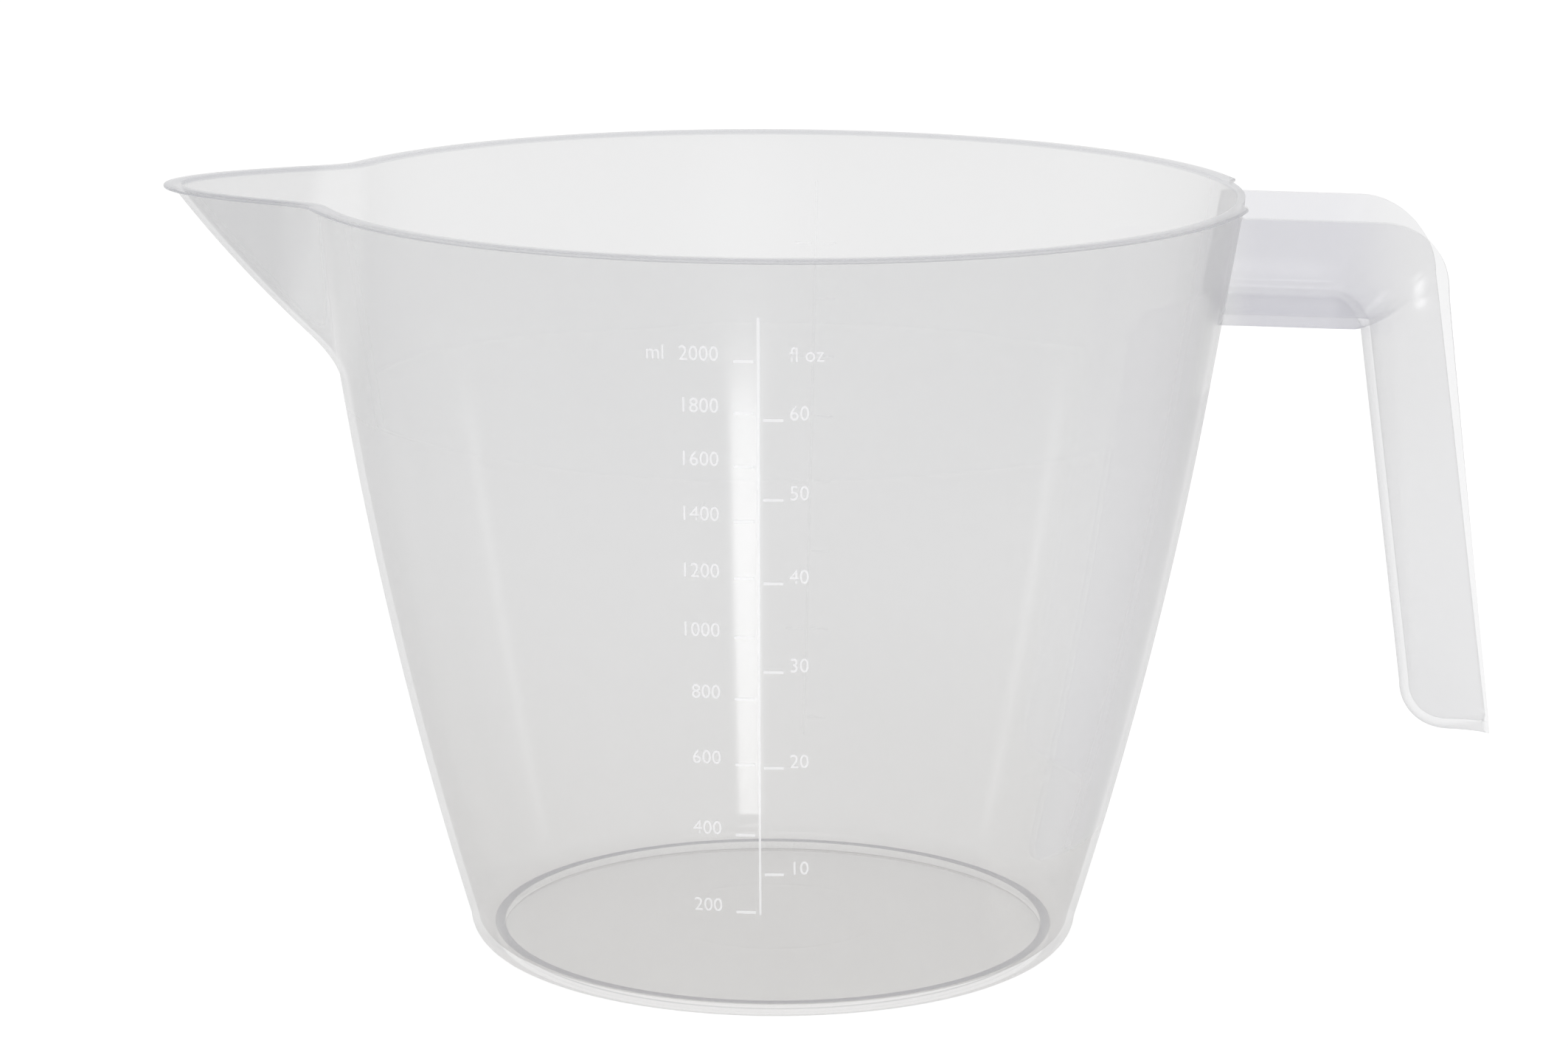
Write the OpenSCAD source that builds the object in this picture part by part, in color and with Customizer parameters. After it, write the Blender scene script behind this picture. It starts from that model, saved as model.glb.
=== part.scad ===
// Two-litre measuring jug in natural translucent polypropylene, one moulding.
// The origin is the centre of the circle that the foot ring stands on, +Z up.
// The pouring spout points to -X and the handle to +X.
// Every node below is a region of that moulding, cut where its features meet.

/* [Bowl] */
// Height from the table to the top of the rim
jug_h = 145.6; // [125:0.1:170]
// Radius that the straight wall would have at the table
base_r = 57.3; // [50:0.1:70]
// Outward lean of the wall at the table, radius per height
wall_lean = 0.301; // [0.15:0.001:0.4]
// Lean of the straight top part of the wall
top_lean = 0.16; // [0.1:0.001:0.3]
// Height where the slight barrel curve ends and the straight top part starts
straight_z = 107; // [80:1:120]
// Thickness of the wall
wall_t = 1.4; // [1:0.1:2.5]
// Outer radius of the rounded bottom corner
corner_r = 5; // [4:0.5:9]

/* [Base] */
// Thickness of the floor
floor_t = 1.4; // [1:0.1:3]
// Height of the foot ring under the floor
foot_h = 0.8; // [0.5:0.1:2]
// Width of the foot ring
foot_w = 1.4; // [1:0.1:4]
// Diameter of the raised circle round the gate at the middle of the floor
gate_d = 43; // [20:1:60]
// Width and height of that raised circle
gate_w = 0.6; // [0.4:0.1:1.5]

/* [Rim] */
// Height of the bead along the rim
rim_h = 0.8; // [0.6:0.1:3]
// How far the bead stands out from the wall
rim_out = 2; // [1:0.1:4]

/* [Spout] */
// Reach of the spout's wall beyond the bowl's wall at the rim
spout_reach = 26.2; // [18:0.1:32]
// Focal width of the parabola that every level section of the spout follows
spout_curve = 23.7; // [15:0.1:30]
// Run of the keel towards the bowl for each millimetre down, at the tip
keel_run = 0.76; // [0.6:0.01:1]
// Gain in that run over the keel's whole height
keel_gain = 0.28; // [0:0.01:0.5]
// Depth of the soft fillet between the spout and the bowl
spout_blend = 5; // [3:0.5:10]
// Half angle of the wall that the spout takes up
spout_half = 28; // [24:1:34]

/* [Handle] */
// Thickness of the handle's wall
handle_t = 1.8; // [1.4:0.1:2.6]
// Width of the arm over its two side walls
arm_w = 40; // [30:1:46]
// Gap between the bead and the top edge of the arm
arm_drop = 1.4; // [0.4:0.1:3]
// Height of the arm from its underside to its top edge, at the wall
arm_h = 20.2; // [16:0.1:26]
// Fall of the arm's edges from the wall to the corner
arm_fall = 0.5; // [0:0.1:3]
// Distance from the jug's axis to the outer corner of the arm
handle_reach = 125.7; // [115:0.1:135]
// Radius of the arm's outer corner, seen from the side
elbow_r = 14; // [8:0.5:18]
// Radius of the turn between the arm's underside and the grip
crook_r = 3; // [2:0.5:8]
// Distance from the axis to the grip's inner face under the arm
grip_in = 110.7; // [104:0.1:118]
// Outward lean of the grip, distance per height
grip_lean = 0.135; // [0:0.001:0.2]
// How much deeper the grip's channel is at its lower end
grip_gain = 1.3; // [0:0.1:4]
// Height of the grip's lower end above the table
grip_z = 42.4; // [25:0.1:70]
// Radius of the turn at the grip's lower end
toe_r = 9; // [4:0.5:12]
// Width of the grip between its edges just under the elbow
grip_w = 25; // [18:1:34]
// Width of the grip between its edges at its lower end
toe_w = 9; // [8:1:24]

/* [Scales] */
// Height of each raised line and tick above the wall
mark_out = 0.25; // [0.15:0.05:0.5]
// Width of each raised line and tick
mark_w = 0.45; // [0.3:0.05:0.8]
// Length of a tick
tick_l = 3.5; // [2:0.1:6]
// Gap between the upright line and the ticks beside it
tick_gap = 0.8; // [0.4:0.1:2]
// Height of the upright lines' lower ends
line_low = 22.2; // [15:0.1:40]
// Height of the upright lines' upper ends
line_top = 135.2; // [110:0.1:140]
// Height of the scales' zero above the floor
scale_lift = 2.3; // [0:0.1:4]
// Angle of the back upright line from +X, on the far side
back_angle = 86.5; // [75:0.5:100]
// Angle of the front upright line from +X, on the near side
front_angle = -90; // [-110:0.5:-70]

/* [Hidden] */

$fn = 180;
polypropylene = "#dcdde2";
bead_blue = "#b9bdcd";
mark_grey = "#c9cad2";

// The wall's outer radius at a height: a shallow parabola, then straight on
barrel = (wall_lean - top_lean) / (2 * straight_z);
function wall_r(z) = let (curved = min(z, straight_z))
    base_r + wall_lean * curved - barrel * curved * curved + top_lean * (z - curved);
floor_top = foot_h + floor_t;
// Heights where the wall's outline has its points, shared by the spout
corner_z = corner_r;
wall_top = jug_h - rim_h;
wall_steps = 22;
spout_step = 14;
function wall_z(i) = corner_z + (wall_top - corner_z) * i / wall_steps;
spout_z = wall_z(spout_step);
foot_r = wall_r(corner_z) - corner_r;
// Inner corner: wide and high enough to meet the wall's and the floor's inner faces
inner_w = corner_r - wall_t;
inner_h = corner_z - floor_top;

module ring_profile(points) rotate_extrude() polygon(points);

// A wedge of the space round the axis, open towards an angle
module wedge(angle, half, low, high) {
    reach = 2 * jug_h;
    translate([0, 0, low])
        rotate([0, 0, angle])
            linear_extrude(high - low)
                polygon([[0, 0], reach * [1, -tan(half)], reach * [1, tan(half)]]);
}

module bowl_wall() color(polypropylene) difference() {
    ring_profile(concat(
        [for (i = [0:wall_steps]) [wall_r(wall_z(i)), wall_z(i)]],
        [for (i = [wall_steps:-1:0]) [wall_r(wall_z(i)) - wall_t, wall_z(i)]]));
    wedge(180, spout_half, spout_z, jug_h + 1);
}

module base_corner() color(polypropylene)
    ring_profile(concat(
        [for (a = [-90:10:0]) [foot_r + corner_r * cos(a), corner_z + corner_r * sin(a)]],
        [for (a = [0:-10:-90]) [foot_r + inner_w * cos(a), corner_z + inner_h * sin(a)]]));

module floor_disc() color(polypropylene) {
    translate([0, 0, foot_h])
        cylinder(r = foot_r, h = floor_t);
    translate([0, 0, floor_top])
        difference() {
            cylinder(d = gate_d, h = gate_w / 2);
            translate([0, 0, -1])
                cylinder(d = gate_d - 2 * gate_w, h = gate_w + 2);
        }
}

module foot_ring() color(bead_blue) difference() {
    cylinder(r = foot_r, h = foot_h);
    translate([0, 0, -1])
        cylinder(r = foot_r - foot_w, h = foot_h + 2);
}

module rim_bead() color(bead_blue) difference() {
    outer = wall_r(wall_top) + rim_out;
    inner = wall_r(wall_top) - wall_t;
    round_r = rim_h * 0.4;
    ring_profile(concat(
        [[inner, wall_top], [outer - round_r, wall_top]],
        [for (a = [-60:30:60]) [outer - round_r, jug_h - rim_h / 2]
            + [round_r * cos(a), (rim_h / 2) * sin(a)]],
        [[outer - round_r, jug_h], [inner, jug_h]]));
    wedge(180, spout_half, wall_top - 1, jug_h + 1);
    // The bead stops between the arm's side walls, and only the wall goes on
    difference() {
        wedge(0, asin((arm_w / 2 - handle_t) / wall_r(wall_top)), wall_top - 1, jug_h + 1);
        cylinder(r = wall_r(wall_top), h = 2 * jug_h);
    }
}

// Distance from the axis to the keel at a height
function keel_r(z) = let (down = wall_top - z)
    wall_r(wall_top) + spout_reach - keel_run * down
        - keel_gain * down * down / (wall_top - spout_z);
// Distance from the axis to a parabola with its nose on the keel, at an angle off it
function nose_r(keel, a) = abs(a) < 0.01 ? keel :
    let (c = spout_curve * cos(a), s = sin(a) * sin(a))
        (-c + sqrt(c * c + 4 * s * spout_curve * keel)) / (2 * s);
// The larger of two distances, with a soft fillet where they are nearly equal
function soft_max(a, b, depth) = let (near = max(depth - abs(a - b), 0) / depth)
    max(a, b) + near * near * depth / 4;
// The blend fades out at the spout's lower and side edges, where it meets the bowl
function spout_r(z, a) = let (
    wall = wall_r(z),
    keel = keel_r(z),
    nose = keel > wall - spout_blend ? nose_r(keel, a) : keel)
    soft_max(wall, nose, spout_blend);

// Nodes of a grid with rows of points: skins, and the strips that close it
function quad(a, b, c, d) = [[a, b, c], [a, c, d]];
function grid_faces(rows, cols, first, flip) = [for (i = [0:rows - 2], j = [0:cols - 2])
    let (p = first + i * cols + j)
        for (f = flip ? quad(p, p + 1, p + cols + 1, p + cols) : quad(p, p + cols, p + cols + 1, p + 1))
            f];
// Closes two grids of the same size, outer first, into one shell
function shell_faces(rows, cols) = let (n = rows * cols) concat(
    grid_faces(rows, cols, 0, false),
    grid_faces(rows, cols, n, true),
    [for (j = [0:cols - 2]) for (f = quad(j, j + 1, n + j + 1, n + j)) f],
    [for (j = [0:cols - 2]) let (p = (rows - 1) * cols + j)
        for (f = quad(p + 1, p, n + p, n + p + 1)) f],
    [for (i = [0:rows - 2]) let (p = i * cols)
        for (f = quad(p + cols, p, n + p, n + p + cols)) f],
    [for (i = [0:rows - 2]) let (p = i * cols + cols - 1)
        for (f = quad(p, p + cols, n + p + cols, n + p)) f]);

// A point at a radius and height, at an angle off the spout's middle plane
function off_axis(r, a, z) = [-r * cos(a), -r * sin(a), z];

module pour_spout() color(polypropylene) {
    // Closer steps near the nose, where the parabola turns quickest
    turns = [for (i = [-20:20]) spout_half * sign(i) * pow(abs(i) / 20, 1.4)];
    heights = [for (i = [spout_step:wall_steps]) wall_z(i)];
    // The bead runs on along the lips, so the outer skin has two more rows
    outer = concat([for (z = heights) [z, 0]], [[wall_top, rim_out], [jug_h, rim_out]]);
    inner = concat([for (z = heights) z], [wall_top + rim_h / 3, jug_h]);
    cols = len(turns);
    rows = len(outer);
    outer_skin = [for (row = outer, a = turns)
        off_axis(spout_r(min(row[0], wall_top), a) + row[1], a, row[0])];
    inner_skin = [for (z = inner, a = turns)
        off_axis(spout_r(min(z, wall_top), a) - wall_t, a, z)];
    polyhedron(concat(outer_skin, inner_skin), shell_faces(rows, cols), convexity = 6);
}

// --- Handle: a channel whose section turns from a box on the arm to a half tube ---
arm_top = wall_top - arm_drop;
arm_low = arm_top - arm_h;
elbow = [handle_reach - elbow_r, arm_top - arm_fall - elbow_r];
toe_x = grip_in + grip_lean * (arm_low - grip_z) - grip_gain;
edge_toe = handle_reach + grip_lean * (elbow[1] - grip_z);
crook = [grip_in - crook_r, arm_low - arm_fall - crook_r];
// Powers of the section's curve, from nearly square corners to nearly round
arm_boxy = 24;
grip_boxy = 2.4;
// Width of the toe's flat floor left at the free edges, and how deep the root sinks in the wall
toe_lip = 0.8;
root_sink = 0.05;
function mix(a, b, t) = a + (b - a) * t;
function clip(t) = min(max(t, 0), 1);
function ease(t) = let (c = clip(t)) c * c * (3 - 2 * c);

// Stations along the handle: 0 to 1 the arm, to 2 the elbow, to 3 the grip, to 4 the toe
// Free edge of the channel in the XZ plane; floor is the height it stops above at the toe
function edge_at(s, floor) =
    s <= 1 ? [mix(wall_r(arm_top), elbow[0], s), mix(arm_top, arm_top - arm_fall, s)] :
    s <= 2 ? elbow + elbow_r * [sin(90 * (s - 1)), cos(90 * (s - 1))] :
    let (top = elbow + [elbow_r, 0], low = [edge_toe, grip_z + floor], t = (s - 2) / 2)
        mix(top, low, 1 - pow(1 - t, 1.6));
// Middle of the web in the XZ plane; lift moves it into the channel by the wall's thickness
function web_at(s, lift) =
    s <= 1 ? [mix(wall_r(arm_low), crook[0], s), mix(arm_low, crook[1] + crook_r, s) + lift] :
    s <= 2 ? crook + (crook_r + lift) * [sin(80 * (s - 1)), cos(80 * (s - 1))] :
    s <= 3 ? mix(crook + (crook_r + lift) * [sin(80), cos(80)],
        [toe_x + lift, grip_z + toe_r], s - 2) :
    s <= 3.7 ? [toe_x + toe_r, grip_z + toe_r]
        - (toe_r - lift) * [cos(90 * (s - 3) / 0.7), sin(90 * (s - 3) / 0.7)] :
    [mix(toe_x + toe_r, edge_toe - toe_lip, (s - 3.7) / 0.3), grip_z + lift];
// Half width over the side walls, and how boxy the section is
function half_at(s) = s <= 2 ? mix(arm_w, grip_w, ease(s - 1)) / 2
    : mix(grip_w, toe_w, pow((s - 2) / 2, 0.6)) / 2;
function boxy_at(s) = mix(arm_boxy, grip_boxy, ease((s - 0.8) / 1.1));

function handle_point(s, a, t) = let (
    edge = edge_at(s, t), web = web_at(s, t), power = 2 / boxy_at(s),
    depth = pow(sin(a), power), side = -sign(cos(a)) * pow(abs(cos(a)), power),
    p = mix(edge, web, depth), y = (half_at(s) - t) * side,
    // The first row lies on the bowl's wall, a hair inside it
    x = s == 0 ? sqrt(pow(wall_r(p[1]), 2) - y * y) - root_sink : p[0])
    [x, y, p[1]];

module handle_part(stations) {
    turns = [for (i = [0:30]) 6 * i];
    polyhedron(concat(
        [for (s = stations, a = turns) handle_point(s, a, 0)],
        [for (s = stations, a = turns) handle_point(s, a, handle_t)]),
        shell_faces(len(stations), len(turns)), convexity = 8);
}

module handle_arm() color(polypropylene)
    handle_part(concat([0, 0.25, 0.5, 0.75], [for (i = [0:6]) 0.85 + i * 0.15]));

module handle_grip() color(polypropylene)
    handle_part(concat([for (i = [0:3]) 1.75 + i / 12], [for (i = [1:19]) 2 + i * 0.1],
        [for (i = [1:4]) 3.9 + i * 0.025]));

// --- Scales ---
// How deep each raised mark starts inside the wall
mark_root = 0.1;
// Volume of a level disc slice inside the bowl, in millilitres
function slice_ml(z, dz) = PI * pow(wall_r(z) - wall_t, 2) * dz / 1000;
// Volume up to a height, by the midpoint of 30 slices, less what the bottom corner takes
corner_ml = 2 * PI * foot_r * (1 - PI / 4) * inner_w * inner_h / 1000;
function filled_ml(z) = let (dz = (z - floor_top) / 30)
    slices_ml(0, dz) - corner_ml;
function slices_ml(i, dz) = i == 30 ? 0
    : slice_ml(floor_top + (i + 0.5) * dz, dz) + slices_ml(i + 1, dz);
// Height of a volume, by halving the span 16 times
function level(ml, low, high, tries) = let (mid = (low + high) / 2)
    tries == 0 ? mid
        : filled_ml(mid) < ml ? level(ml, mid, high, tries - 1) : level(ml, low, mid, tries - 1);
function level_z(ml) = scale_lift + level(ml, floor_top, jug_h, 16);

// An upright raised line on the wall
module wall_line(angle) {
    steps = 16;
    heights = [for (i = [0:steps]) mix(line_low, line_top, i / steps)];
    half = mark_w / 2 / wall_r((line_low + line_top) / 2) * 180 / PI;
    rotate([0, 0, angle - half])
        rotate_extrude(angle = 2 * half)
            polygon(concat(
                [for (z = heights) [wall_r(z) + mark_out, z]],
                [for (i = [steps:-1:0]) [wall_r(heights[i]) - mark_root, heights[i]]]));
}

// A level raised tick that starts beside the line; side is 1 towards larger angles
module wall_tick(angle, z, side) {
    r = wall_r(z);
    start = tick_gap / r * 180 / PI;
    sweep = tick_l / r * 180 / PI;
    rotate([0, 0, side > 0 ? angle + start : angle - start - sweep])
        rotate_extrude(angle = sweep)
            translate([r - mark_root, z - mark_w / 2])
                square([mark_out + mark_root, mark_w]);
}

module front_line() color(mark_grey) wall_line(front_angle);
module back_line() color(mark_grey) wall_line(back_angle);
module millilitre_ticks() color(mark_grey)
    for (ml = [200:200:2000]) wall_tick(front_angle, level_z(ml), -1);
module fluid_ounce_ticks() color(mark_grey)
    for (oz = [10:10:60]) wall_tick(front_angle, level_z(oz * 29.574), 1);
module pint_ticks() color(mark_grey)
    for (pint = [1:4]) wall_tick(back_angle, level_z(pint * 473.2), 1);
module cup_ticks() color(mark_grey)
    for (cup = [1:8]) wall_tick(back_angle, level_z(cup * 236.6), -1);

bowl_wall();
base_corner();
floor_disc();
foot_ring();
rim_bead();
pour_spout();
handle_arm();
handle_grip();
front_line();
millilitre_ticks();
fluid_ounce_ticks();
back_line();
pint_ticks();
cup_ticks();
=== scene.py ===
import math

import bpy
import numpy as np
from mathutils import Euler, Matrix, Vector


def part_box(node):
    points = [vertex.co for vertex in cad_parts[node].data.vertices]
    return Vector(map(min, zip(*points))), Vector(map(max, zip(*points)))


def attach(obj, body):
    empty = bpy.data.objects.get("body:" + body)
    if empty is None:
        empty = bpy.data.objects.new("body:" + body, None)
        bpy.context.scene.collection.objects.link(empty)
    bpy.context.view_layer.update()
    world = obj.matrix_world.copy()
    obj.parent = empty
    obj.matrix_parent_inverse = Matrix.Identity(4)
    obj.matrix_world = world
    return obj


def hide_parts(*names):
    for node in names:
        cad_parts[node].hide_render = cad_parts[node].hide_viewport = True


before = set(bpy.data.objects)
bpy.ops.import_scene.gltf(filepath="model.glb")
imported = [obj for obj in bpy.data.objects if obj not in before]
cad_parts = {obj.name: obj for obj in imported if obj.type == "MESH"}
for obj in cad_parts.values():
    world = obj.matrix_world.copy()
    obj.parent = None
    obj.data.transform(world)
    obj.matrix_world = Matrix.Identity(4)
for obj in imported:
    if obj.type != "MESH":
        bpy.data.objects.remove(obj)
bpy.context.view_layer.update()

# The worktop and the light. The jug stands on a white sweep under soft studio light, with
# tall narrow lamps in front of it and to its sides, and an even white surround.
scene = bpy.context.scene
scene.view_settings.view_transform = "Standard"
scene.cycles.transparent_max_bounces = 24
SENSOR_W = 36.0


class Socket:
    """A node's output, so that shader maths reads as plain expressions."""

    def __init__(self, tree, output):
        self.tree = tree
        self.output = output

    def math(self, operation, *others):
        return build(self.tree, "ShaderNodeMath", {"operation": operation}, [self, *others])

    def __add__(self, other):
        return self.math("ADD", other)

    def __sub__(self, other):
        return self.math("SUBTRACT", other)

    def __mul__(self, other):
        return self.math("MULTIPLY", other)

    def __truediv__(self, other):
        return self.math("DIVIDE", other)

    def __pow__(self, other):
        return self.math("POWER", other)

    def __rsub__(self, other):
        return build(self.tree, "ShaderNodeMath", {"operation": "SUBTRACT"}, [other, self])

    __radd__ = __add__
    __rmul__ = __mul__


def build(tree, kind, settings, values, output=0):
    """Adds one node: its type, its settings, then its sockets by place or by name."""
    node = tree.nodes.new(kind)
    for name, value in settings.items():
        setattr(node, name, value)
    pairs = values.items() if isinstance(values, dict) else enumerate(values)
    for key, value in pairs:
        if isinstance(value, Socket):
            tree.links.new(value.output, node.inputs[key])
        else:
            node.inputs[key].default_value = value
    return Socket(tree, node.outputs[output])


def step(value, low, high):
    """Rises smoothly from 0 to 1 as value goes from low to high."""
    return build(value.tree, "ShaderNodeMapRange", {"interpolation_type": "SMOOTHSTEP"},
                 [value, low, high, 0.0, 1.0])


def blend(mask, low, high):
    """A colour that goes from low to high as mask goes from 0 to 1."""
    return build(mask.tree, "ShaderNodeMix", {"data_type": "RGBA"},
                 {0: mask, 6: low, 7: high}, output=2)


# The surround is a white backdrop behind the jug and a dimmer room in front of it, by bearing
world = bpy.data.worlds.new("surround")
scene.world = world
world.use_nodes = True
sky = world.node_tree
sky.nodes.clear()
BACKDROP = 0.84
ROOM = 0.47
LEFT_END, RIGHT_END, SOFT_END = math.radians(-56), math.radians(46), math.radians(2)
camera_ray = build(sky, "ShaderNodeLightPath", {}, {})
way = build(sky, "ShaderNodeTexCoord", {}, {})
parts = sky.nodes.new("ShaderNodeSeparateXYZ")
sky.links.new(way.output, parts.inputs[0])
bearing = Socket(sky, parts.outputs[0]).math("ARCTAN2", Socket(sky, parts.outputs[1]))
behind = (step(bearing, LEFT_END - SOFT_END, LEFT_END)
          * (1 - step(bearing, RIGHT_END, RIGHT_END + SOFT_END)))
room = behind * (BACKDROP - ROOM) + ROOM
glow = build(sky, "ShaderNodeBackground", {},
             {"Color": (1.0, 1.0, 1.0, 1.0), "Strength": room + camera_ray * (1.02 - room)})
sky.links.new(glow.output, sky.nodes.new("ShaderNodeOutputWorld").inputs[0])

FLOOR_HALF = 3.0
floor_mesh = bpy.data.meshes.new("sweep")
floor_mesh.from_pydata([(-FLOOR_HALF, -FLOOR_HALF, 0), (FLOOR_HALF, -FLOOR_HALF, 0),
                        (FLOOR_HALF, FLOOR_HALF, 0), (-FLOOR_HALF, FLOOR_HALF, 0)], [], [(0, 1, 2, 3)])
floor = bpy.data.objects.new("sweep", floor_mesh)
scene.collection.objects.link(floor)
card = bpy.data.materials.new("white_card")
card.use_nodes = True
paper = card.node_tree.nodes["Principled BSDF"]
paper.inputs["Base Color"].default_value = (0.3, 0.3, 0.3, 1)
paper.inputs["Roughness"].default_value = 0.9
paper.inputs["Specular IOR Level"].default_value = 0.0
seen = build(card.node_tree, "ShaderNodeLightPath", {}, {})
lit = blend(seen, (0.7, 0.7, 0.7, 1), (1, 1, 1, 1))
card.node_tree.links.new(lit.output, paper.inputs["Emission Color"])
paper.inputs["Emission Strength"].default_value = 0.88
floor_mesh.materials.append(card)


def softbox(name, place, target, size, power, tint=(1.0, 1.0, 1.0)):
    """A rectangular lamp of size (width, height) at place that faces target."""
    lamp = bpy.data.lights.new(name, "AREA")
    lamp.shape = "RECTANGLE"
    lamp.size, lamp.size_y = size
    lamp.energy = power
    lamp.color = tint
    stand = bpy.data.objects.new(name, lamp)
    stand.location = place
    stand.rotation_euler = (Vector(target) - Vector(place)).to_track_quat("-Z", "Y").to_euler()
    scene.collection.objects.link(stand)
    return stand


MIDDLE = (0.0, 0.0, 0.08)
softbox("front_strip", (0.26, -1.29, 0.37), MIDDLE, (0.20, 0.11), 0.55)
softbox("left_strip", (-1.14, -0.01, 0.22), MIDDLE, (0.07, 0.22), 0.07)
softbox("right_strip", (1.14, 0.27, 0.22), MIDDLE, (0.07, 0.22), 0.07)
softbox("left_box", (-1.2, 0.6, 0.9), MIDDLE, (0.5, 0.5), 1.2, (1.0, 0.96, 0.92))
softbox("top_box", (0.0, 0.2, 1.4), MIDDLE, (0.8, 0.8), 2.0)

# The camera stands in front of the main scale and a little above the rim, far enough off for
# a long lens, and is turned a little towards the spout.
camera = bpy.data.objects.new("camera", bpy.data.cameras.new("camera"))
camera.data.lens = 101.8
camera.data.sensor_width = SENSOR_W
camera.location = (0.0293, -0.8310, 0.2599)
TURN = math.radians(1.9)
DOWN = math.radians(12.15)
ROLL = math.radians(0.33)
camera.rotation_euler = (Euler((math.pi / 2 - DOWN, 0, TURN)).to_matrix()
                         @ Euler((0, 0, ROLL)).to_matrix()).to_euler()
scene.collection.objects.link(camera)
scene.camera = camera

# The jug body: bowl, bottom, rim and spout are one skin of natural polypropylene, moulded
# in one shot. The spout grows out of the wall, and the bead runs round the rim and the lips.
MM = 0.001
JUG_H = float(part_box("rim_bead")[1][2])
BASE_R = 57.3 * MM
WALL_LEAN = 0.301
TOP_LEAN = 0.16
STRAIGHT_Z = 107 * MM
WALL_T = 1.4 * MM
CORNER_R = 5 * MM
FOOT_H = 0.8 * MM
FOOT_W = 1.4 * MM
FLOOR_T = 1.4 * MM
FLOOR_TOP = FOOT_H + FLOOR_T
GATE_R = 21.5 * MM
GATE_W = 0.6 * MM
GATE_H = 0.1 * MM
RIM_H = 0.8 * MM
RIM_OUT = 2 * MM
SPOUT_REACH = 26.2 * MM
SPOUT_CURVE = 23.7 * MM
KEEL_RUN = 0.76
KEEL_GAIN = 0.28
SPOUT_BLEND = 5 * MM
WALL_TOP = JUG_H - RIM_H
CORNER_Z = CORNER_R
SPOUT_Z = CORNER_Z + (WALL_TOP - CORNER_Z) * 14 / 22
BARREL = (WALL_LEAN - TOP_LEAN) / (2 * STRAIGHT_Z)


def wall_r(z):
    """The bowl's outer radius at a height: a shallow barrel curve, then straight on."""
    curved = np.minimum(z, STRAIGHT_Z)
    return BASE_R + WALL_LEAN * curved - BARREL * curved ** 2 + TOP_LEAN * (z - curved)


FOOT_R = float(wall_r(CORNER_Z)) - CORNER_R


def skin_r(z, turn):
    """The outer radius at a height and an angle off the spout, with the spout blended in."""
    z = np.minimum(z, WALL_TOP)
    wall = wall_r(z)
    down = WALL_TOP - z
    keel = (wall_r(WALL_TOP) + SPOUT_REACH - KEEL_RUN * down
            - KEEL_GAIN * down ** 2 / (WALL_TOP - SPOUT_Z))
    sine2 = np.maximum(np.sin(turn) ** 2, 1e-9)
    push = SPOUT_CURVE * np.cos(turn)
    nose = (-push + np.sqrt(push ** 2 + 4 * sine2 * SPOUT_CURVE * np.maximum(keel, 0))) / (2 * sine2)
    nose = np.where(np.abs(turn) < math.pi / 2, nose, 0)
    near = np.maximum(SPOUT_BLEND - np.abs(wall - nose), 0) / SPOUT_BLEND
    return np.maximum(wall, nose) + near ** 2 * SPOUT_BLEND / 4


def finish_mesh(name, points, faces, smooth_angle=None):
    """A smooth-shaded object from points and faces, with sharp edges past an angle."""
    mesh = bpy.data.meshes.new(name)
    mesh.from_pydata([tuple(p) for p in points], [], faces)
    mesh.validate()
    mesh.update()
    mesh.shade_smooth()
    if smooth_angle:
        mesh.set_sharp_from_angle(angle=smooth_angle)
    piece = bpy.data.objects.new(name, mesh)
    scene.collection.objects.link(piece)
    return piece


# Angles off the spout's middle, closer together over the spout
turns = np.radians(np.concatenate([np.arange(-34, 34, 0.5), np.arange(34, 326, 1.5)]))
turns = np.where(turns > math.pi, turns - 2 * math.pi, turns)
COLS = len(turns)
heights = np.concatenate([np.linspace(CORNER_Z, 90 * MM, 44), np.linspace(92 * MM, WALL_TOP, 50)])
# The bead stops between the handle's side walls
ARM_HALF, ARM_FADE = math.radians(11.4), math.radians(1.4)
bead_out = np.clip((math.pi - np.abs(turns) - ARM_HALF) / ARM_FADE, 0, 1)


def ring(radius, z):
    return np.stack([-radius * np.cos(turns), -radius * np.sin(turns), np.full(COLS, z)], axis=1)


def outward(loop):
    """Level unit normals of a closed level loop."""
    along = np.roll(loop, -1, axis=0) - np.roll(loop, 1, axis=0)
    normal = np.stack([along[:, 1], -along[:, 0], np.zeros(COLS)], axis=1)
    return normal / np.linalg.norm(normal, axis=1)[:, None]


def wall_loop(z, offset):
    """The wall's outline at a height, moved square to itself by offset."""
    loop = ring(skin_r(np.full(COLS, z), turns), z)
    out = np.where(offset > 0, offset * bead_out, offset)
    return loop + out[:, None] * outward(loop)


loops = []
SOFT = 0.3 * MM
HUB_R = 10 * MM
MID_R = 38 * MM
FOOT_IN = FOOT_R - FOOT_W
# Under the floor, then the foot ring with softened edges, and the rounded corner
for radius, z in [(HUB_R, FOOT_H), (GATE_R, FOOT_H), (MID_R, FOOT_H),
                  (FOOT_IN - 4 * SOFT, FOOT_H), (FOOT_IN - SOFT, FOOT_H),
                  (FOOT_IN, FOOT_H - SOFT), (FOOT_IN, SOFT / 2),
                  (FOOT_IN + SOFT, 0), (FOOT_R, 0)]:
    loops.append(ring(np.full(COLS, radius), z))
for angle in np.radians(np.linspace(-86, -4, 9)):
    loops.append(ring(np.full(COLS, FOOT_R + CORNER_R * math.cos(angle)),
                      CORNER_Z + CORNER_R * math.sin(angle)))
for z in heights[:-1]:
    loops.append(wall_loop(z, 0))
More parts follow.
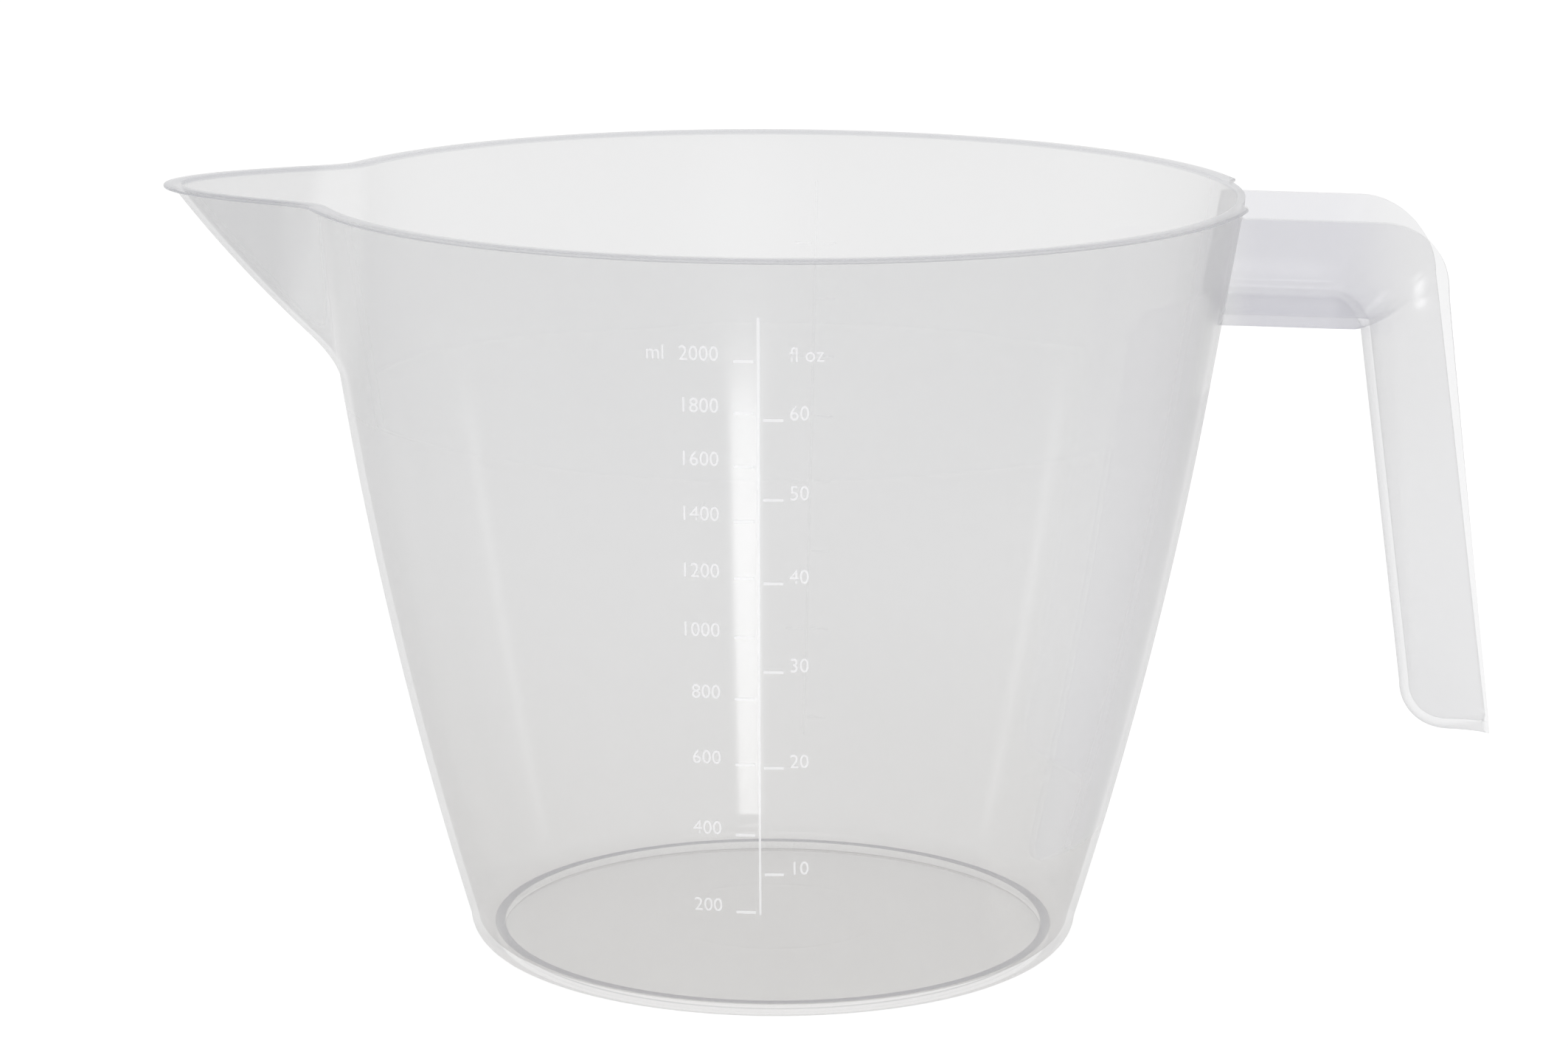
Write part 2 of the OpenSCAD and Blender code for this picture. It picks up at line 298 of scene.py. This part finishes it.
# The bead: out, round its nose, and over the top to the inner face
for offset, z in [(0, WALL_TOP - 0.2 * MM), (0.2 * MM, WALL_TOP - 0.02 * MM),
                  (RIM_OUT - 0.3 * MM, WALL_TOP + 0.02 * MM), (RIM_OUT - 0.08 * MM, WALL_TOP + 0.15 * MM),
                  (RIM_OUT, WALL_TOP + 0.4 * MM), (RIM_OUT - 0.08 * MM, JUG_H - 0.15 * MM),
                  (RIM_OUT - 0.3 * MM, JUG_H - 0.02 * MM), (0.4 * MM, JUG_H),
                  (0.35 * MM - WALL_T, JUG_H), (0.1 * MM - WALL_T, JUG_H - 0.1 * MM),
                  (-WALL_T, JUG_H - 0.35 * MM)]:
    loops.append(wall_loop(z, offset))
for z in heights[::-1]:
    loops.append(wall_loop(z, -WALL_T))
for angle in np.radians(np.linspace(-4, -86, 8)):
    loops.append(ring(np.full(COLS, FOOT_R + (CORNER_R - WALL_T) * math.cos(angle)),
                      CORNER_Z + (CORNER_Z - FLOOR_TOP) * math.sin(angle)))
# The top of the floor, with the raised circle round the gate
GATE_IN = GATE_R - GATE_W
GATE_TOP = FLOOR_TOP + GATE_H
for radius, z in [(FOOT_R, FLOOR_TOP), (FOOT_R - 4 * SOFT, FLOOR_TOP), (MID_R, FLOOR_TOP),
                  (GATE_R + 3 * SOFT, FLOOR_TOP), (GATE_R + SOFT, FLOOR_TOP),
                  (GATE_R, GATE_TOP), (GATE_IN, GATE_TOP), (GATE_IN - SOFT, FLOOR_TOP),
                  (GATE_IN - 3 * SOFT, FLOOR_TOP), (HUB_R, FLOOR_TOP)]:
    loops.append(ring(np.full(COLS, radius), z))

points = np.concatenate(loops + [np.array([[0, 0, FOOT_H], [0, 0, FLOOR_TOP]])])
faces = []
for i in range(len(loops) - 1):
    for j in range(COLS):
        k = (j + 1) % COLS
        faces.append((i * COLS + j, i * COLS + k, (i + 1) * COLS + k, (i + 1) * COLS + j))
low_pole = len(loops) * COLS
last = (len(loops) - 1) * COLS
for j in range(COLS):
    k = (j + 1) % COLS
    faces.append((low_pole, k, j))
    faces.append((low_pole + 1, last + j, last + k))
body = finish_mesh("jug_body", points, faces, math.radians(50))


def moulded(name):
    """A blank for natural polypropylene: its shader tree, the place on the jug, a slow cloud."""
    finish = bpy.data.materials.new(name)
    finish.use_nodes = True
    finish.surface_render_method = "BLENDED"
    place = build(finish.node_tree, "ShaderNodeTexCoord", {}, {}, output="Object")
    cloud = build(finish.node_tree, "ShaderNodeTexNoise", {},
                  {"Vector": place, "Scale": 18.0, "Detail": 2.0})
    return finish, finish.node_tree, place, cloud


# Share of the light that the plastic reflects when it is seen square on
GLOSS = 0.04


def polish(tree, haze, colour, matt, relief, slant=0.35):
    """A milky haze over clear plastic, under a gloss that grows towards grazing angles."""
    shell = tree.nodes["Principled BSDF"]
    shell.inputs["Specular IOR Level"].default_value = 0.0
    shell.inputs["Roughness"].default_value = 0.6
    gloss = tree.nodes.new("ShaderNodeBsdfPrincipled")
    gloss.inputs["Metallic"].default_value = 1.0
    gloss.inputs["Base Color"].default_value = (1, 1, 1, 1)
    facing = build(tree, "ShaderNodeLayerWeight", {}, {"Blend": 0.5}, output="Facing")
    # A ray that slants through the wall meets more haze
    depth = haze * (facing ** 2 * slant + 1)
    tree.links.new(depth.output, shell.inputs["Alpha"])
    tree.links.new(colour.output, shell.inputs["Base Color"])
    tree.links.new(matt.output, gloss.inputs["Roughness"])
    tree.links.new(relief.output, gloss.inputs["Normal"])
    both = build(tree, "ShaderNodeMixShader", {},
                 [facing ** 5 * (1 - GLOSS) + GLOSS,
                  Socket(tree, shell.outputs[0]), Socket(tree, gloss.outputs[0])])
    tree.links.new(both.output, tree.nodes["Material Output"].inputs["Surface"])


finish, tree, place, cloud = moulded("polypropylene_body")
split = tree.nodes.new("ShaderNodeSeparateXYZ")
tree.links.new(place.output, split.inputs[0])
x, y, z = (Socket(tree, split.outputs[i]) for i in range(3))
angle = y.math("ARCTAN2", x)
radius = (x * x + y * y) ** 0.5
# Frosted panel round the handle: a rounded fan, less a rounded slot under the handle's root
PANEL_AT = 75 * MM
across = angle.math("ABSOLUTE") * PANEL_AT
PANEL_HALF = math.radians(40.9) * PANEL_AT
PANEL_LOW, PANEL_HIGH, PANEL_R = 25.7 * MM, 131.7 * MM, 6 * MM
SLOT_HALF, SLOT_LOW, SLOT_R = math.radians(20.5) * PANEL_AT, 110.7 * MM, 5 * MM


def rounded(across, half, z, low, high, corner):
    """Distance outside a rounded box, negative inside it."""
    qx = (across - (half - corner)).math("MAXIMUM", 0.0)
    middle = (low + high) / 2
    qz = ((z - middle).math("ABSOLUTE") - ((high - low) / 2 - corner)).math("MAXIMUM", 0.0)
    return (qx * qx + qz * qz) ** 0.5 - corner


EDGE = 0.12 * MM
panel_gap = rounded(across, PANEL_HALF, z, PANEL_LOW, PANEL_HIGH, PANEL_R)
slot_gap = rounded(across, SLOT_HALF, z, SLOT_LOW, SLOT_LOW + 60 * MM, SLOT_R)
panel = (1 - step(panel_gap, -EDGE, EDGE)) * step(slot_gap, -EDGE, EDGE)
bead = step(z, WALL_TOP - 0.1 * MM, WALL_TOP + 0.1 * MM)
# The foot ring and the floor's edge show as one dark line through the corner
floor_edge = (step(radius, FOOT_IN - 0.4 * MM, FOOT_IN)
              * (1 - step(radius, FOOT_R + 0.1 * MM, FOOT_R + 0.5 * MM))
              * step(z, 0.5 * MM, 0.7 * MM) * (1 - step(z, FLOOR_TOP + 0.2 * MM, FLOOR_TOP + 0.5 * MM)))
# Painted shade: the corner at the foot gets a dark warm colour and a little more haze, standing in for the
# contact shadow where the jug meets the floor.
corner = (1 - step(z, 2 * MM, 5 * MM)) * step(radius, FOOT_R, FOOT_R + 0.5 * MM)
low = 1 - step(z, 0.0, 110 * MM)
spout = step(radius, 91 * MM, 95 * MM)
# The top of the bowl is a little duller and milkier than the rest
dull = step(z, 84 * MM, 124 * MM)
haze = (0.12 + cloud * 0.02 + panel * 0.01 + bead * 0.08 + floor_edge * 0.40 + corner * 0.02
        + low * 0.012 + spout * 0.05 + dull * 0.012)
colour = blend(low, (0.54, 0.54, 0.555, 1), (0.49, 0.465, 0.44, 1))
colour = blend(panel * 0.8, colour, (0.57, 0.56, 0.60, 1))
# Painted shade for the foot's contact shadow, in a dark warm colour
colour = blend(corner, colour, (0.42, 0.38, 0.36, 1))
colour = blend((bead + floor_edge).math("MINIMUM", 1.0), colour, (0.30, 0.31, 0.38, 1))
grain = build(tree, "ShaderNodeTexNoise", {}, {"Vector": place, "Scale": 1600.0, "Detail": 1.0})
relief = build(tree, "ShaderNodeBump", {}, {"Strength": 0.35, "Distance": 0.0001,
                                            "Height": grain * panel + cloud * 0.2})
polish(tree, haze, colour, 0.08 + panel * 0.35 + dull * 0.3 + cloud * 0.04, relief)
body.data.materials.append(finish)
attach(body, "root")
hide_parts("bowl_wall", "base_corner", "floor_disc", "foot_ring", "rim_bead", "pour_spout")

# The handle: an open channel that grows out of the wall under the rim. The arm is a box
# channel open upwards; past the elbow it turns into a half tube open outwards, with a closed toe.
HANDLE_T = 1.8 * MM
ARM_W = 40 * MM
ARM_TOP = WALL_TOP - 1.4 * MM
ARM_LOW = ARM_TOP - 20.2 * MM
ARM_FALL = 0.5 * MM
ELBOW_R = 14 * MM
ELBOW = np.array([125.7 * MM - ELBOW_R, ARM_TOP - ARM_FALL - ELBOW_R])
GRIP_IN, GRIP_LEAN, GRIP_Z = 110.7 * MM, 0.135, 42.4 * MM
CROOK_R = 3 * MM
CROOK = np.array([GRIP_IN - CROOK_R, ARM_LOW - ARM_FALL - CROOK_R])
TOE_R = 9 * MM
TOE_LIP = 0.8 * MM
GRIP_W, TOE_W = 25 * MM, 9 * MM
GRIP_GAIN = 1.3 * MM
TOE_X = GRIP_IN + GRIP_LEAN * (ARM_LOW - GRIP_Z) - GRIP_GAIN
EDGE_TOE = ELBOW[0] + ELBOW_R + GRIP_LEAN * (ELBOW[1] - GRIP_Z)
ARM_BOXY, GRIP_BOXY = 24, 2.4
# Station along the handle where the toe's corner ends; the arm is 0 to 1, the grip 2 to 3
TOE_TURNED = 3.7


def mix(a, b, t):
    return a + (b - a) * t


def ease(t):
    t = min(max(t, 0), 1)
    return t * t * (3 - 2 * t)


def polar(centre, radius, angle):
    """A point at an angle from straight up, turning outwards."""
    return centre + radius * np.array([math.sin(angle), math.cos(angle)])


def edge_at(s, lift):
    """The channel's free edge in the handle's middle plane: arm, elbow, then grip."""
    if s <= 1:
        return np.array([mix(float(wall_r(ARM_TOP)), ELBOW[0], s), mix(ARM_TOP, ARM_TOP - ARM_FALL, s)])
    if s <= 2:
        return polar(ELBOW, ELBOW_R, math.pi / 2 * (s - 1))
    top = ELBOW + np.array([ELBOW_R, 0])
    return mix(top, np.array([EDGE_TOE, GRIP_Z + lift]), 1 - (1 - (s - 2) / 2) ** 1.6)


def web_at(s, lift):
    """The middle of the channel's web: the arm's underside, the crook, the grip and the toe."""
    if s <= 1:
        return np.array([mix(float(wall_r(ARM_LOW)), CROOK[0], s),
                         mix(ARM_LOW, CROOK[1] + CROOK_R, s) + lift])
    turn_end = math.radians(80)
    if s <= 2:
        return polar(CROOK, CROOK_R + lift, turn_end * (s - 1))
    if s <= 3:
        return mix(polar(CROOK, CROOK_R + lift, turn_end),
                   np.array([TOE_X + lift, GRIP_Z + TOE_R]), s - 2)
    if s <= TOE_TURNED:
        a = math.pi / 2 * (s - 3) / (TOE_TURNED - 3)
        toe = np.array([TOE_X + TOE_R, GRIP_Z + TOE_R])
        return toe - (TOE_R - lift) * np.array([math.cos(a), math.sin(a)])
    return np.array([mix(TOE_X + TOE_R, EDGE_TOE - TOE_LIP, (s - TOE_TURNED) / (4 - TOE_TURNED)),
                     GRIP_Z + lift])


def half_at(s):
    """Half the channel's width over its side walls."""
    if s <= 2:
        return mix(ARM_W, GRIP_W, ease(s - 1)) / 2
    return mix(GRIP_W, TOE_W, ((s - 2) / 2) ** 0.6) / 2


def channel_row(s, lift, around):
    """One section of the channel, from its near free edge round the web to the far one."""
    edge, web = edge_at(s, lift), web_at(s, lift)
    power = 2 / mix(ARM_BOXY, GRIP_BOXY, ease((s - 0.8) / 1.1))
    # Rounding the sine gives both free edges a depth of exactly 0
    depth = np.round(np.sin(around), 9) ** power
    side = -np.sign(np.cos(around)) * np.abs(np.cos(around)) ** power
    plane = edge[None, :] + (web - edge)[None, :] * depth[:, None]
    y = (half_at(s) - lift) * side
    x = plane[:, 0]
    if s == 0:
        x = np.sqrt(wall_r(plane[:, 1]) ** 2 - y ** 2) - 0.5 * MM
    return np.stack([x, y, plane[:, 1]], axis=1)


# Angles round the section, closer together near the free edges, where a boxy section turns
even = np.linspace(0, 1, 91)
around = math.pi * (even - 0.9 * np.sin(2 * math.pi * even) / (2 * math.pi))
stations = np.concatenate([np.linspace(0, 1, 13), np.linspace(1.04, 2, 22), np.linspace(2.04, 4, 60)])
outer = [channel_row(s, 0, around) for s in stations]
inner = [channel_row(s, HANDLE_T, around) for s in stations]
rows, cols = len(stations), len(around)
points = np.concatenate(outer + inner)
shift = rows * cols
faces = []
for i in range(rows - 1):
    for j in range(cols - 1):
        p = i * cols + j
        faces.append((p, p + cols, p + cols + 1, p + 1))
        faces.append((shift + p, shift + p + 1, shift + p + cols + 1, shift + p + cols))
    for p, flip in ((i * cols, False), (i * cols + cols - 1, True)):
        strip = (p, shift + p, shift + p + cols, p + cols)
        faces.append(strip[::-1] if flip else strip)
for j in range(cols - 1):
    faces.append((j, j + 1, shift + j + 1, shift + j))
    p = (rows - 1) * cols + j
    faces.append((p + 1, p, shift + p, shift + p + 1))
handle = finish_mesh("handle_channel", points, faces, math.radians(40))


def handle_finish(name, slant):
    """The handle's plastic, with painted shade on the arm, which is darker and bluer, and more haze where
    a ray runs along its web.
    """
    finish, tree, place, cloud = moulded(name)
    relief = build(tree, "ShaderNodeBump", {}, {"Strength": 0.3, "Distance": 0.0001, "Height": cloud})
    split = tree.nodes.new("ShaderNodeSeparateXYZ")
    tree.links.new(place.output, split.inputs[0])
    x, z = Socket(tree, split.outputs[0]), Socket(tree, split.outputs[2])
    # Painted shade: the arm is darker and bluer than the rest of the handle.
    arm = (1 - step(x, 105 * MM, 121 * MM)) * step(z, 118 * MM, 121 * MM) * step(x, 82 * MM, 90 * MM)
    colour = blend(arm, (0.57, 0.57, 0.60, 1), (0.44, 0.43, 0.56, 1))
    polish(tree, 0.1 + cloud * 0.02 + arm * 0.03, colour, 0.12 + cloud * 0.06, relief, slant)
    return finish


# Seen along its wall the outer skin shows the plastic's whole depth, the inner one none of it
handle.data.materials.append(handle_finish("polypropylene_handle", 2.6))
handle.data.materials.append(handle_finish("polypropylene_handle_inside", 0.0))
for face in handle.data.polygons:
    face.material_index = 0 if max(face.vertices) < shift else 1
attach(handle, "root")
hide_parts("handle_arm", "handle_grip")

# The raised scales are cut into the mould, so lines, ticks and numerals stand out of the wall
# in the same plastic. The front one reads millilitres to its left and fluid ounces to its right.
def mark_finish(name, haze, painted_glow):
    """Raised marks with a faint glow all over them: painted light standing in for the light their raised
    edges gather.
    """
    finish, tree, place, cloud = moulded(name)
    relief = build(tree, "ShaderNodeBump", {}, {"Strength": 0.2, "Distance": 0.0001, "Height": cloud})
    colour = blend(cloud, (0.90, 0.90, 0.92, 1), (0.96, 0.96, 0.98, 1))
    polish(tree, haze + cloud * 0.04, colour, 0.1 + cloud * 0.05, relief)
    shell = tree.nodes["Principled BSDF"]
    # Painted light: the marks glow faintly, though they are no lamp.
    shell.inputs["Emission Color"].default_value = (1, 1, 1, 1)
    shell.inputs["Emission Strength"].default_value = painted_glow
    return finish


front_marks = mark_finish("polypropylene_marks", 0.28, 0.38)
back_marks = mark_finish("polypropylene_back_marks", 0.06, 0.7)
for node, marks in (("front_line", front_marks), ("millilitre_ticks", front_marks),
                    ("fluid_ounce_ticks", front_marks), ("back_line", back_marks),
                    ("pint_ticks", back_marks), ("cup_ticks", back_marks)):
    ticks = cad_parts[node]
    ticks.data.materials.clear()
    ticks.data.materials.append(marks)


def tick_heights(node):
    """The height of each tick of a scale, lowest first, from the islands of its mesh."""
    levels = sorted(corner.co.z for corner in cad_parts[node].data.vertices)
    groups = [[levels[0]]]
    for level in levels[1:]:
        if level - groups[-1][-1] > 2 * MM:
            groups.append([])
        groups[-1].append(level)
    return [(group[0] + group[-1]) / 2 for group in groups]


FRONT = -math.pi / 2
NUMERAL_SIZE = 3.8 * MM
NUMERAL_NARROW = 0.93
NUMERAL_OUT = 0.12 * MM


def numerals(name, rows, align, start):
    """Numerals bent round the wall, each row beside its tick, start away from the upright line."""
    points, faces = [], []
    for word, z in rows:
        curve = bpy.data.curves.new("numeral", "FONT")
        curve.body = word
        curve.size = NUMERAL_SIZE
        curve.align_x = align
        curve.extrude = NUMERAL_OUT
        curve.resolution_u = 3
        letter = bpy.data.objects.new("numeral", curve)
        scene.collection.objects.link(letter)
        bpy.context.view_layer.update()
        flat = bpy.data.meshes.new_from_object(letter.evaluated_get(bpy.context.evaluated_depsgraph_get()))
        first = len(points)
        for corner in flat.vertices:
            level = z + corner.co.y
            radius = float(wall_r(level)) + corner.co.z
            angle = FRONT + (start + corner.co.x * NUMERAL_NARROW) / radius
            points.append((radius * math.cos(angle), radius * math.sin(angle), level))
        faces += [tuple(first + k for k in face.vertices) for face in flat.polygons]
        bpy.data.meshes.remove(flat)
        bpy.data.objects.remove(letter)
        bpy.data.curves.remove(curve)
    piece = finish_mesh(name, points, faces)
    piece.data.materials.append(front_marks)
    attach(piece, "root")


millilitres = [(str(200 * (i + 1)), z) for i, z in enumerate(tick_heights("millilitre_ticks"))]
ounces = [(str(10 * (i + 1)), z) for i, z in enumerate(tick_heights("fluid_ounce_ticks"))]
numerals("millilitre_numerals", millilitres, "RIGHT", -6.8 * MM)
numerals("fluid_ounce_numerals", ounces, "LEFT", 5.3 * MM)
UNIT_Z = millilitres[-1][1]
numerals("millilitre_unit", [("ml", UNIT_Z)], "RIGHT", -16.2 * MM)
numerals("fluid_ounce_unit", [("fl oz", UNIT_Z)], "LEFT", 5.3 * MM)
